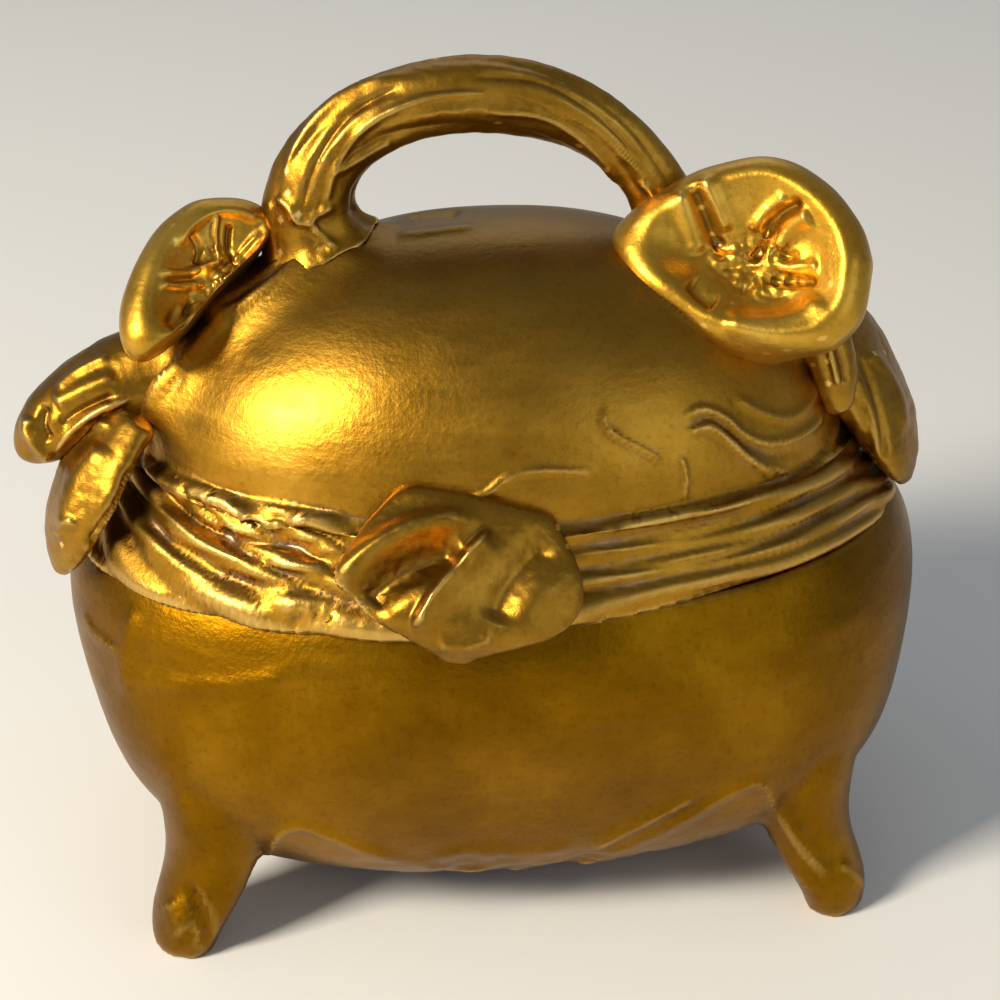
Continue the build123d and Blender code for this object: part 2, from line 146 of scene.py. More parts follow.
def comb(strand):
    """Rounded strands side by side with sharp valleys between, one to each whole number."""
    return 1 - np.abs(2 * (strand % 1) - 1) ** STRAND_POWER


def waves(turn, rows):
    """Sine waves added up: each row says how many to a round, how strong, and how far turned."""
    return sum(strong * np.sin(count * turn + lead) for count, strong, lead in rows)


def round_oval(points):
    """How far round the rim's oval each point is, as an angle."""
    return np.arctan2(points[:, 1] / RIM_B, points[:, 0] / RIM_A)


def outward(points, normals, heart):
    """True where the skin faces away from heart."""
    return np.sum(normals * (points - heart), 1) > 0


def copy_of(name, node_name):
    """A copy of a CAD node's mesh with its loose triangles merged."""
    obj = bpy.data.objects.new(name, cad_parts[node_name].data.copy())
    obj.data.name = name
    bpy.context.scene.collection.objects.link(obj)
    select(obj)
    bpy.ops.object.mode_set(mode="EDIT")
    bpy.ops.mesh.select_all(action="SELECT")
    bpy.ops.mesh.remove_doubles(threshold=MERGE * MM)
    bpy.ops.object.mode_set(mode="OBJECT")
    return obj


def melted(name, node_name, voxel, smooth_steps):
    """A CAD node's solid made again as one soft cast skin with small even faces."""
    obj = copy_of(name, node_name)
    remesh = obj.modifiers.new("remesh", "REMESH")
    remesh.mode = "VOXEL"
    remesh.voxel_size = voxel * MM
    relax(obj, smooth_steps)
    bpy.ops.object.shade_smooth()
    return obj


def place(obj, body, slot, material, *nodes):
    """Give a finished piece its body, its material and the nodes it stands for; slot is not used."""
    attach(obj, body)
    obj.data.materials.clear()
    obj.data.materials.append(material)
    if nodes:
        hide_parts(*nodes)


# Carving: strokes drawn over the photograph, cast on to the skin that faces its camera.
# Which side of a stroke stays high, seen along the way it is drawn
PLAIN, RIGHT_HIGH, LEFT_HIGH = 0, 1, -1
# How squarely the skin must face the camera to be carved a little, and in full
FACING = (0.05, 0.3)
# The steep side's share of a stroke's width, and the share of its length over which it fades
STEEP = 0.22
FADE = (-0.02, 0.14)
# How many widths from a stroke it still works
STROKE_REACH = 3


def seen_at(points):
    """Where points show in the photograph, in its pixels."""
    offset = points - CAMERA_AT
    depth = offset @ FORWARD
    across = HALF + FOCAL * (offset @ RIGHT) / depth
    down = HALF - FOCAL * (offset @ ABOVE) / depth
    return np.stack([across, down], 1)


def smooth_line(line, steps=6):
    """A drawn line rounded through its points, by Catmull and Rom's rule."""
    line = np.array(line, float)
    padded = np.vstack([2 * line[0] - line[1], line, 2 * line[-1] - line[-2]])
    made = []
    for i in range(len(line) - 1):
        before, start, end, after = padded[i:i + 4]
        bend = 2 * before - 5 * start + 4 * end - after
        turn = 3 * start - before - 3 * end + after
        for t in np.arange(steps) / steps:
            made.append(0.5 * (2 * start + (end - before) * t + bend * t ** 2 + turn * t ** 3))
    return np.array(made + [line[-1]])


def beside(places, line):
    """Distance of each place from a line, its side (1 is right of the way it is drawn) and its
    share along it."""
    best = np.full(len(places), np.inf)
    side = np.zeros(len(places))
    along = np.zeros(len(places))
    for i, (start, end) in enumerate(zip(line, line[1:])):
        run = end - start
        share = np.clip(((places - start) @ run) / (run @ run), 0, 1)
        gap = places - (start + share[:, None] * run)
        distance = np.hypot(gap[:, 0], gap[:, 1])
        nearer = distance < best
        best[nearer] = distance[nearer]
        side[nearer] = np.sign(run[0] * gap[nearer, 1] - run[1] * gap[nearer, 0])
        along[nearer] = (i + share[nearer]) / (len(line) - 1)
    return best, side, along


def carve(obj, strokes, heart=None):
    """Raise or sink the skin along strokes: a line in pixels, its width and height in millimetres,
    and the side that stays high where the other falls away steeply, or PLAIN for an even ridge."""
    points, normals = read_points(obj), read_normals(obj)
    places = seen_at(points)
    toward = CAMERA_AT - points
    toward /= np.linalg.norm(toward, axis=1)[:, None]
    facing = ease(np.sum(normals * toward, 1), *FACING)
    if heart is not None:
        facing = facing * outward(points, normals, heart)
    depths = np.zeros(len(points))
    for line, width, height, high_side in strokes:
        drawn = smooth_line(line)
        reach = width * PX_PER_MM
        after_start = places > drawn.min(0) - STROKE_REACH * reach
        before_end = places < drawn.max(0) + STROKE_REACH * reach
        close = np.all(after_start & before_end, 1) & (facing > 0)
        distance, side, along = beside(places[close], drawn)
        steep = (high_side != PLAIN) & (side != high_side)
        falling = np.where(steep, reach * STEEP, reach)
        taper = ease(np.minimum(along, 1 - along), *FADE)
        depths[close] += height * np.exp(-(distance / falling) ** 2) * facing[close] * taper
    write_points(obj, points + normals * depths[:, None])


# Helpers for materials
def linear(hex_colour):
    """An sRGB hex colour as a linear colour."""
    channels = [int(hex_colour[i:i + 2], 16) / 255 for i in (1, 3, 5)]
    return [c / 12.92 if c <= 0.04045 else ((c + 0.055) / 1.055) ** 2.4 for c in channels] + [1.0]


def node(tree, kind, links=(), stops=(), **settings):
    """Add a node: settings go on it or on its inputs (in_), links join its inputs to outputs, and
    stops are a colour ramp's places and hex colours."""
    made = tree.nodes.new("ShaderNode" + kind)
    for key, value in settings.items():
        if key.startswith("in_"):
            made.inputs[key[3:].replace("_", " ")].default_value = value
        else:
            setattr(made, key, value)
    for key, output in dict(links).items():
        tree.links.new(output, made.inputs[key])
    for i, (position, colour) in enumerate(stops):
        element = made.color_ramp.elements[i] if i < 2 else made.color_ramp.elements.new(position)
        element.position = position
        element.color = linear(colour)
    return made


def start_material(name):
    """A material with an empty tree, its shader, and Object coordinates."""
    material = bpy.data.materials.new(name)
    material.use_nodes = True
    tree = material.node_tree
    tree.nodes.clear()
    shader = node(tree, "BsdfPrincipled")
    node(tree, "OutputMaterial", {"Surface": shader.outputs["BSDF"]})
    coords = node(tree, "TexCoord").outputs["Object"]
    return material, tree, shader, coords


def per_mm(size):
    """A noise scale, for coordinates in metres, whose features are that many millimetres wide."""
    return 1 / (size * MM)


# Gilt spelter: cast zinc alloy brushed with bronze powder in varnish. It gives the eye a soft,
# grainy gold shine that is bright where hands rub it, brown where the varnish has darkened in the
# hollows, and brown under a dull film on the faces that look up. The grain of bronze powder is
# under a tenth of a millimetre wide, and is drawn coarser so that it shows
TONE_PATCH, BRUSH_MARK, BRONZE_GRAIN = 18, 5, 0.9
PIT_DEPTH, BRUSH_DEPTH = 0.12, 0.25
SPECKLE, HOLLOW_BROWN, RUBBED_GOLD = "#B08A58", "#4E3010", "#F6CF78"
DULL_FILM, PALE_DUST = "#50401E", "#A68A72"


def gilt(name, tones, worn, film, dust):
    """The casket's gilding: its dark, middle and light tones, and how worn, filmed and dusty it is."""
    material, tree, shader, coords = start_material(name)
    patches = node(tree, "TexNoise", {"Vector": coords},
                   in_Scale=per_mm(TONE_PATCH), in_Detail=6.0, in_Roughness=0.62)
    flattened = node(tree, "Mapping", {"Vector": coords}, in_Scale=(0.5, 0.5, 2.0))
    brushed = node(tree, "TexNoise", {"Vector": flattened.outputs["Vector"]},
                   in_Scale=per_mm(BRUSH_MARK), in_Detail=4.0, in_Roughness=0.6)
    grain = node(tree, "TexNoise", {"Vector": coords},
                 in_Scale=per_mm(BRONZE_GRAIN), in_Detail=3.0, in_Roughness=0.65)
    geometry = node(tree, "NewGeometry")
    dark, middle, light = tones
    gold = node(tree, "ValToRGB", {"Fac": patches.outputs["Fac"]},
                stops=[(0.30, dark), (0.70, light), (0.52, middle)])
    speckle = node(tree, "MapRange", {"Value": grain.outputs["Fac"]},
                   in_From_Min=0.52, in_From_Max=0.75, in_To_Min=0.0, in_To_Max=0.35)
    speckled = node(tree, "MixRGB",
                    {"Fac": speckle.outputs["Result"], "Color1": gold.outputs["Color"]},
                    blend_type="MULTIPLY", in_Color2=linear(SPECKLE))
    hollows = node(tree, "MapRange", {"Value": geometry.outputs["Pointiness"]},
                   in_From_Min=0.41, in_From_Max=0.495, in_To_Min=1.0, in_To_Max=0.0)
    hollowed = node(tree, "MixRGB",
                    {"Fac": hollows.outputs["Result"], "Color1": speckled.outputs["Color"]},
                    in_Color2=linear(HOLLOW_BROWN))
    rubbed = node(tree, "MapRange", {"Value": geometry.outputs["Pointiness"]},
                  in_From_Min=0.515, in_From_Max=0.60, in_To_Min=0.0, in_To_Max=worn)
    bright = node(tree, "MixRGB",
                  {"Fac": rubbed.outputs["Result"], "Color1": hollowed.outputs["Color"]},
                  in_Color2=linear(RUBBED_GOLD))
    upward = node(tree, "SeparateXYZ", {"Vector": geometry.outputs["Normal"]})
    film_patches = node(tree, "MapRange", {"Value": patches.outputs["Fac"]},
                        in_From_Min=0.35, in_From_Max=0.65, in_To_Min=0.55, in_To_Max=1.0)
    film_up = node(tree, "MapRange", {"Value": upward.outputs["Z"]},
                   in_From_Min=0.35, in_From_Max=0.95, in_To_Min=0.0, in_To_Max=film)
    film_share = node(tree, "Math",
                      {0: film_up.outputs["Result"], 1: film_patches.outputs["Result"]},
                      operation="MULTIPLY")
    filmed = node(tree, "MixRGB",
                  {"Fac": film_share.outputs["Value"], "Color1": bright.outputs["Color"]},
                  in_Color2=linear(DULL_FILM))
    dust_marks = node(tree, "MapRange", {"Value": brushed.outputs["Fac"]},
                      in_From_Min=0.45, in_From_Max=0.7, in_To_Min=0.0, in_To_Max=dust)
    dust_share = node(tree, "Math",
                      {0: hollows.outputs["Result"], 1: dust_marks.outputs["Result"]},
                      operation="MULTIPLY")
    dusted = node(tree, "MixRGB",
                  {"Fac": dust_share.outputs["Value"], "Color1": filmed.outputs["Color"]},
                  in_Color2=linear(PALE_DUST))
    tree.links.new(dusted.outputs["Color"], shader.inputs["Base Color"])
    rough = node(tree, "MapRange", {"Value": brushed.outputs["Fac"]},
                 in_From_Min=0.3, in_From_Max=0.7, in_To_Min=0.44, in_To_Max=0.32)
    tree.links.new(rough.outputs["Result"], shader.inputs["Roughness"])
    metal = node(tree, "MapRange", {"Value": dust_share.outputs["Value"]},
                 in_From_Min=0.0, in_From_Max=1.0, in_To_Min=1.0, in_To_Max=0.4)
    tree.links.new(metal.outputs["Result"], shader.inputs["Metallic"])
    pits = node(tree, "Bump", {"Height": grain.outputs["Fac"]},
                in_Strength=0.5, in_Distance=PIT_DEPTH * MM)
    marks = node(tree, "Bump", {"Height": brushed.outputs["Fac"], "Normal": pits.outputs["Normal"]},
                 in_Strength=0.25, in_Distance=BRUSH_DEPTH * MM)
    tree.links.new(marks.outputs["Normal"], shader.inputs["Normal"])
    return material


# Satin silk over wadding: a fine warp and weft, faded unevenly to a dusty rose, with a soft sheen
# where it turns away. Real threads lie a tenth of a millimetre apart, and these are drawn about
# seven times too coarse, so that they show at all
THREAD_PITCH, FADED_PATCH, THREAD_DEPTH = 0.7, 14, 0.08
# The shader's wave pattern repeats this many times in pi of its own units
WAVE_REPEATS = 10


def satin(name, dark, light, sheen):
    """Silk that fades from a dark to a light tone, with that much sheen."""
    material, tree, shader, coords = start_material(name)
    fade = node(tree, "TexNoise", {"Vector": coords}, in_Scale=per_mm(FADED_PATCH), in_Detail=4.0)
    wave_size = THREAD_PITCH * WAVE_REPEATS / pi
    warp, weft = [node(tree, "TexWave", {"Vector": coords}, in_Scale=per_mm(wave_size),
                       in_Distortion=0.4, bands_direction=way) for way in "XY"]
    weave = node(tree, "Math", {0: warp.outputs["Fac"], 1: weft.outputs["Fac"]}, operation="MULTIPLY")
    colour = node(tree, "ValToRGB", {"Fac": fade.outputs["Fac"]}, stops=[(0.35, dark), (0.65, light)])
    shaded = node(tree, "MixRGB", {"Color1": colour.outputs["Color"], "Fac": weave.outputs["Value"]},
                  in_Color2=linear(light))
    tree.links.new(shaded.outputs["Color"], shader.inputs["Base Color"])
    bump = node(tree, "Bump", {"Height": weave.outputs["Value"]},
                in_Strength=0.5, in_Distance=THREAD_DEPTH * MM)
    tree.links.new(bump.outputs["Normal"], shader.inputs["Normal"])
    shader.inputs["Roughness"].default_value = 0.5
    shader.inputs["Sheen Weight"].default_value = sheen
    return material


# Pasteboard: pressed rag card, which gives the eye a matt brown mottled with soft fibres
FIBRE_TUFT, FIBRE_DEPTH = 1.2, 0.1


def pasteboard(name):
    """Browned card."""
    material, tree, shader, coords = start_material(name)
    fibres = node(tree, "TexNoise", {"Vector": coords}, in_Scale=per_mm(FIBRE_TUFT), in_Detail=5.0)
    colour = node(tree, "ValToRGB", {"Fac": fibres.outputs["Fac"]},
                  stops=[(0.35, "#7E6A50"), (0.65, "#A8957A")])
    tree.links.new(colour.outputs["Color"], shader.inputs["Base Color"])
    bump = node(tree, "Bump", {"Height": fibres.outputs["Fac"]},
                in_Strength=0.4, in_Distance=FIBRE_DEPTH * MM)
    tree.links.new(bump.outputs["Normal"], shader.inputs["Normal"])
    shader.inputs["Roughness"].default_value = 0.9
    return material


# Drawn steel wire: grey, with fine lines along its length from the die and brown specks of rust
DIE_LINE, RUST_SPECK, LINE_DEPTH = 0.4, 1.5, 0.03


def drawn_steel(name):
    """Steel wire that lies along the hinge."""
    material, tree, shader, coords = start_material(name)
    stretched = node(tree, "Mapping", {"Vector": coords}, in_Scale=(0.1, 1.0, 1.0))
    drawn = node(tree, "TexNoise", {"Vector": stretched.outputs["Vector"]},
                 in_Scale=per_mm(DIE_LINE), in_Detail=3.0)
    specks = node(tree, "TexNoise", {"Vector": coords}, in_Scale=per_mm(RUST_SPECK), in_Detail=4.0)
    steel = node(tree, "ValToRGB", {"Fac": drawn.outputs["Fac"]},
                 stops=[(0.4, "#8C8A86"), (0.6, "#A9A7A2")])
    rust = node(tree, "MapRange", {"Value": specks.outputs["Fac"]},
                in_From_Min=0.55, in_From_Max=0.7, in_To_Min=0.0, in_To_Max=0.8)
    colour = node(tree, "MixRGB", {"Fac": rust.outputs["Result"], "Color1": steel.outputs["Color"]},
                  in_Color2=linear("#6A4024"))
    tree.links.new(colour.outputs["Color"], shader.inputs["Base Color"])
    bump = node(tree, "Bump", {"Height": drawn.outputs["Fac"]},
                in_Strength=0.3, in_Distance=LINE_DEPTH * MM)
    tree.links.new(bump.outputs["Normal"], shader.inputs["Normal"])
    shader.inputs["Metallic"].default_value = 1.0
    shader.inputs["Roughness"].default_value = 0.38
    return material


# Four copies of the one gilding, each toned as bright as its part looked: the bowl's darker tones are
# painted shade and the blooms' lighter tones are painted light, with the lid and leaves between
gilt_bowl_painted_shade = gilt("gilt_spelter_bowl_painted_shade", ["#6C4804", "#805806", "#966A0E"], worn=0.7, film=0.1, dust=0.3)
gilt_lid = gilt("gilt_spelter_lid", ["#926818", "#AC7E24", "#C69634"], worn=0.8, film=0.8, dust=0.9)
gilt_leaf = gilt("gilt_spelter_leaf", ["#7E5A16", "#9C7222", "#BA9038"], worn=0.8, film=0.3, dust=0.4)
gilt_bloom_painted_light = gilt("gilt_spelter_bloom_painted_light", ["#A67A20", "#C89A34", "#E0B650"], worn=0.6, film=0.2, dust=0.3)
silk = satin("faded_satin_silk", dark="#B58E78", light="#D8B8A0", sheen=0.4)
silk_cord = satin("twisted_silk_cord", dark="#A8844C", light="#CFAE72", sheen=0.3)
card = pasteboard("pasteboard")
steel = drawn_steel("drawn_steel_wire")

# The bowl's creases, the raised edge along its apron and inside its legs, and its split foot
BOWL_STROKES = [
    # The raised edge up the left leg, along the apron and down the right leg
    ([(242, 935), (262, 880), (276, 838), (300, 826),
      (330, 836), (365, 850), (410, 862)], 0.7, 0.55, PLAIN),
    ([(400, 860), (450, 868), (505, 870), (560, 865), (612, 852), (660, 832)], 0.7, 0.5, PLAIN),
    ([(640, 842), (690, 816), (735, 790), (762, 784),
      (778, 812), (802, 850), (832, 882)], 0.7, 0.55, PLAIN),
    # Soft creases round the bowl's belly
    ([(118, 676), (160, 684), (205, 687), (250, 684), (290, 680)], 1.3, 0.28, PLAIN),
    ([(600, 702), (670, 690), (735, 668), (800, 644), (880, 608)], 1.6, 0.3, PLAIN),
    ([(560, 722), (650, 716), (740, 692), (820, 662)], 1.0, 0.2, PLAIN),
    ([(136, 608), (126, 640), (124, 672), (130, 700)], 1.1, 0.35, PLAIN),
    ([(84, 612), (98, 634), (122, 652)], 0.8, 0.35, RIGHT_HIGH),
    # The left leg's crease and its split foot
    ([(150, 740), (172, 780), (184, 812), (186, 850)], 1.6, 0.3, PLAIN),
    ([(186, 884), (196, 904), (204, 924), (206, 946)], 0.7, -0.7, PLAIN),
    ([(168, 898), (176, 920), (186, 936)], 1.4, 0.5, PLAIN),
    # Casting lines and drips on the apron, and the right leg's crease
    ([(592, 850), (640, 826), (700, 796)], 1.0, 0.5, LEFT_HIGH),
    ([(480, 846), (520, 852), (575, 846)], 0.8, 0.4, PLAIN),
    ([(430, 858), (470, 850), (498, 858)], 0.7, 0.35, PLAIN),
    ([(790, 800), (812, 838), (846, 868)], 1.2, -0.35, PLAIN),
    ([(838, 862), (858, 880), (868, 892)], 0.8, 0.35, PLAIN),
]
# Where the drips under the bowl's apron are strongest, and how far they reach across and up
APRON_X, APRON_Z, APRON_WIDTH, APRON_HEIGHT = 8, 7, 26, 6
BOWL_ROUGHNESS = [(0.12, 13.0, 1), (0.03, 3.0, 2)]
APRON_DRIPS = [(0.7, 6.0, 3), (0.4, 2.6, 4)]

bowl = melted("bowl", "base_casting", voxel=0.71, smooth_steps=5)
points, normals = read_points(bowl), read_normals(bowl)
outside = outward(points, normals, BOWL_HEART)
apron = (np.exp(-((points[:, 2] - APRON_Z) / APRON_HEIGHT) ** 2)
         * np.exp(-((points[:, 0] - APRON_X) / APRON_WIDTH) ** 2))
push(bowl, outside * (rough(points, BOWL_ROUGHNESS) + apron * rough(points, APRON_DRIPS)))
carve(bowl, BOWL_STROKES, BOWL_HEART)
place(bowl, "base", "gilt_casting", gilt_bowl_painted_shade, "base_casting")

# The lid: a smooth dome in a band of flowing strands, like combed hair, that hangs over the rim
BAND_LIFT = 1.9
BAND_WAVES = [(2, 0.7, 0.4), (5, 0.5, 1.0), (11, 0.3, 0.0)]
STRAND_DRIFT = [(3, 0.10, 1.0), (7, 0.06, 2.0)]
STRAND_SWAY = [(2, 0.5, 0.0)]
# Shares of the climb from the band's foot to its top where it swells, ends, and turns out in a lip
BAND_FOOT, BAND_HEAD, BAND_LIP = (-0.02, 0.08), (0.98, 1.06), (0.55, 0.9)
# Where strands sweep up from one row to the next, from and to round the oval, and by how much
LEFT_SWEEP, RIGHT_SWEEP = (radians(-178), radians(-105)), (radians(-80), radians(-10))
LEFT_SWEEP_SHARE, RIGHT_SWEEP_SHARE = 0.5, 0.25
STRAND_ROWS, STRAND_HEIGHT, LEFT_STRAND_EXTRA, HAIR_HEIGHT, LIP_HEIGHT = 4.2, 0.55, 0.5, 0.3, 0.9
# How fine the hair on the strands is round the oval and up the band
HAIR_ROUND, HAIR_UP = 5, 9
# The edge droops at the left front: toward where, over what share, how high up, and how far
DROOP_TOWARD, DROOP_SPAN = radians(-135), (0.2, 0.95)
DROOP_LEVELS = (LID_Z - 0.2, LID_Z + 3.5)
DROOP_OUT, DROOP_DOWN = 1.7, [0, 0, 2.6]
# Within this reach of the rim's oval and under this level is the underside, which stays plain
PLAIN_REACH, PLAIN_LEVEL = 0.97, LID_Z + 1.5
# The edge starts to droop at the first share of the rim's oval and droops in full at the second
EDGE_REACH = (0.955, 1.0)
LID_ROUGHNESS = [(0.14, 12.0, 6)]


def band_heights(points):
    """How far the strands of the band stand out, and how far its edge droops over the rim."""
    turn = round_oval(points)
    climb = (points[:, 2] - LID_Z) / (BAND_TOP + BAND_LIFT + waves(turn, BAND_WAVES) - LID_Z)
    left_front = ease(np.cos(turn - DROOP_TOWARD), *DROOP_SPAN)
    inside_band = ease(climb, *BAND_FOOT) * (1 - ease(climb, *BAND_HEAD))
    sweep = LEFT_SWEEP_SHARE * ease(turn, *LEFT_SWEEP) + RIGHT_SWEEP_SHARE * ease(turn, *RIGHT_SWEEP)
    row = (climb + waves(turn, STRAND_DRIFT) + sweep) * STRAND_ROWS
    strands = comb(row + waves(turn, STRAND_SWAY))
    hair_places = np.stack([turn * HAIR_ROUND, climb * HAIR_UP + np.sin(2 * turn), 0 * turn], 1)
    hair = lumps(hair_places, size=1.0, seed=5)
    lip = LIP_HEIGHT * ease(climb, *BAND_LIP)
    strand_height = STRAND_HEIGHT + LEFT_STRAND_EXTRA * left_front
    height = inside_band * (lip + strand_height * strands + HAIR_HEIGHT * hair)
    droop = left_front * (1 - ease(points[:, 2], *DROOP_LEVELS))
    return height, droop


LID_STROKES = [
    # The band's strands at the left
    ([(163, 478), (190, 492), (222, 500), (240, 512),
      (256, 524), (285, 521), (318, 516), (352, 520)], 0.9, 0.8, RIGHT_HIGH),
    ([(150, 500), (176, 522), (205, 545), (245, 560), (300, 566), (345, 566)], 0.6, 0.5, PLAIN),
    ([(168, 495), (196, 520), (236, 538), (285, 545), (340, 545)], 0.5, -0.5, PLAIN),
    ([(150, 520), (178, 552), (220, 574), (270, 586), (325, 590)], 0.6, -0.6, PLAIN),
    ([(140, 540), (165, 575), (205, 596), (260, 606), (312, 606)], 0.8, 0.5, PLAIN),
    ([(196, 500), (216, 520), (236, 548), (262, 566)], 0.5, -0.5, PLAIN),
    # The band's edge and strands at the right
    ([(570, 522), (640, 520), (700, 511), (752, 498),
      (800, 474), (826, 448), (837, 420), (834, 398)], 0.7, 0.55, RIGHT_HIGH),
    ([(575, 545), (640, 542), (710, 532), (775, 512), (830, 484)], 0.6, -0.35, PLAIN),
    ([(575, 572), (650, 568), (725, 556), (790, 534), (850, 500)], 0.6, -0.35, PLAIN),
    # The tendrils on the dome at the right
    ([(680, 420), (702, 409), (726, 419), (745, 436),
      (770, 443), (794, 438), (816, 424), (822, 406)], 0.45, 0.5, PLAIN),
    ([(684, 436), (704, 428), (726, 441), (745, 456), (770, 468), (792, 473)], 0.45, 0.5, PLAIN),
    ([(697, 424), (714, 426), (736, 446), (758, 467), (779, 483)], 0.4, 0.45, PLAIN),
    ([(690, 429), (709, 418), (730, 430), (751, 446), (776, 456), (806, 450)], 0.45, -0.35, PLAIN),
    ([(735, 396), (760, 412), (790, 418), (812, 400), (818, 372)], 0.6, 0.35, PLAIN),
    # Thin curled lines low on the dome
    ([(605, 408), (606, 426), (624, 441), (648, 453), (660, 462)], 0.3, 0.5, PLAIN),
    ([(680, 456), (686, 478), (683, 500)], 0.3, 0.5, PLAIN),
    ([(468, 500), (488, 492), (505, 478), (540, 470), (575, 472), (600, 474)], 0.35, 0.5, PLAIN),
    ([(500, 486), (498, 494), (512, 476)], 0.4, 0.35, PLAIN),
    # A dent on top of the dome and one in the band's edge
    ([(405, 218), (432, 214), (462, 212)], 0.4, -0.9, PLAIN),
    ([(288, 620), (310, 618), (334, 620)], 0.6, -1.3, PLAIN),
    # The swelling under the left bloom, and its strands
    ([(392, 236), (330, 256), (280, 286), (236, 318),
      (196, 356), (164, 400), (146, 446)], 2.4, 1.9, PLAIN),
    ([(352, 236), (318, 244), (286, 258), (256, 276), (232, 302), (214, 330)], 1.9, 1.9, PLAIN),
    ([(400, 224), (360, 236), (322, 254), (284, 278)], 0.7, 0.7, PLAIN),
    ([(330, 262), (290, 288), (250, 318), (214, 350), (186, 384)], 0.35, 0.5, PLAIN),
    ([(310, 262), (268, 292), (232, 322)], 0.3, -0.5, PLAIN),
    ([(182, 372), (160, 408), (148, 440), (150, 470)], 0.45, 0.5, PLAIN),
    ([(396, 236), (430, 232), (478, 226)], 0.5, 0.35, PLAIN),
    ([(400, 232), (350, 246), (300, 276), (258, 306),
      (222, 336), (190, 372), (168, 404), (152, 440)], 0.8, 0.5, LEFT_HIGH),
    ([(372, 246), (320, 268), (272, 302), (232, 334), (198, 368), (170, 410)], 0.4, -0.4, PLAIN),
    ([(340, 244), (298, 268), (254, 302), (212, 342), (180, 380), (156, 420)], 0.4, 0.4, PLAIN),
    ([(190, 356), (164, 392), (146, 430), (140, 466)], 0.4, -0.4, PLAIN),
    ([(200, 352), (176, 384), (156, 424), (150, 456)], 0.35, 0.4, PLAIN),
    # The edge under the right bloom
    ([(624, 228), (634, 262), (666, 300), (716, 334),
      (770, 352), (812, 360), (836, 396)], 0.6, 0.4, RIGHT_HIGH),
]

lid = melted("lid_shell", "lid_casting", voxel=0.56, smooth_steps=7)
points, normals = read_points(lid), read_normals(lid)
oval_reach = np.hypot(points[:, 0] / RIM_A, points[:, 1] / RIM_B)
past_underside = (oval_reach > PLAIN_REACH) | (points[:, 2] > PLAIN_LEVEL)
outside = outward(points, normals, LID_HEART) & past_underside
height, droop = band_heights(points)
edge = droop * ease(oval_reach, *EDGE_REACH)
points += normals * (outside * (height + rough(points, LID_ROUGHNESS)))[:, None]
away = points * [1, 1, 0] / np.hypot(points[:, 0], points[:, 1])[:, None]
points += edge[:, None] * (away * DROOP_OUT - DROOP_DOWN)
write_points(lid, points)
carve(lid, LID_STROKES, LID_HEART)
place(lid, "lid", "gilt_casting", gilt_lid, "lid_casting")

# How near to the lid's skin the solder spreads a casting, and how often that is smoothed
SOLDER_REACH, SOLDER_SMOOTHING = 2.0, 14
SOLDER_UNEVEN, SOLDER_LUMP = 0.35, 5.0


def seat_gap(points):
    """Roughly how far points stand off the lid's skin."""
    over = np.maximum(points[:, 2] - BAND_TOP, 0) / DOME_RISE
    reach = np.sqrt((points[:, 0] / DOME_A) ** 2 + (points[:, 1] / DOME_B) ** 2 + over ** 2)
    return (reach - 1) * DOME_RISE


def flare(obj, spread, seed):
    """Spread a casting where it meets the lid, as solder and chasing leave it."""
    points = read_points(obj)
    near = np.exp(-(np.maximum(seat_gap(points), 0) / SOLDER_REACH) ** 2)
    push(obj, spread * near * (1 + SOLDER_UNEVEN * lumps(points, SOLDER_LUMP, seed)))
    spread_points = read_points(obj)
    relax(obj, SOLDER_SMOOTHING)
    write_points(obj, spread_points + near[:, None] * (read_points(obj) - spread_points))


# The handle: a twisted bundle of stems whose ends crumple into the dome
HANDLE_STROKES = [
    # Strands up the left side and over the top
    ([(300, 214), (318, 158), (352, 112), (404, 84)], 0.6, -0.6, PLAIN),
    ([(324, 210), (338, 162), (372, 122), (430, 98), (500, 92)], 0.5, 0.5, PLAIN),
    ([(282, 190), (300, 140), (340, 96), (400, 72)], 0.6, 0.5, PLAIN),
    ([(330, 176), (370, 152), (392, 140)], 0.6, 0.5, PLAIN),
    ([(470, 76), (540, 82), (600, 116), (644, 164)], 0.6, -0.5, PLAIN),
    ([(480, 112), (545, 118), (596, 154), (620, 196)], 0.5, 0.4, PLAIN),
    # Folds at the roots
    ([(276, 196), (288, 206), (300, 222), (318, 214), (336, 204)], 0.6, 0.6, PLAIN),
    ([(306, 220), (322, 236), (336, 250)], 0.7, 0.7, PLAIN),
    ([(350, 206), (372, 222), (392, 212)], 0.6, -0.5, PLAIN),
    ([(640, 180), (652, 196), (640, 214)], 0.5, 0.5, PLAIN),
]
STEMS, STEM_HEIGHT, STEM_HAIR, HANDLE_THINNING = 6, 0.35, 0.3, 0.7
# How the stems wind along the handle: how far, how fast, and from where
WIND_SHARE, WIND_PACE, WIND_LEAD = 0.9, 4.0, 0.6
STEM_HAIR_ROUND, STEM_HAIR_ALONG = 1.6, 6
# How far from each end the roots crumple, as shares of the handle's length; the right one is shorter
ROOTS = (0.08, 0.26)
RIGHT_ROOT_SHORTER = 1.3
HANDLE_ROUGHNESS = [(0.08, 1.6, 9)]
ROOT_CRUMPLES = [(0.35, 4.5, 8), (0.1, 2.2, 3)]

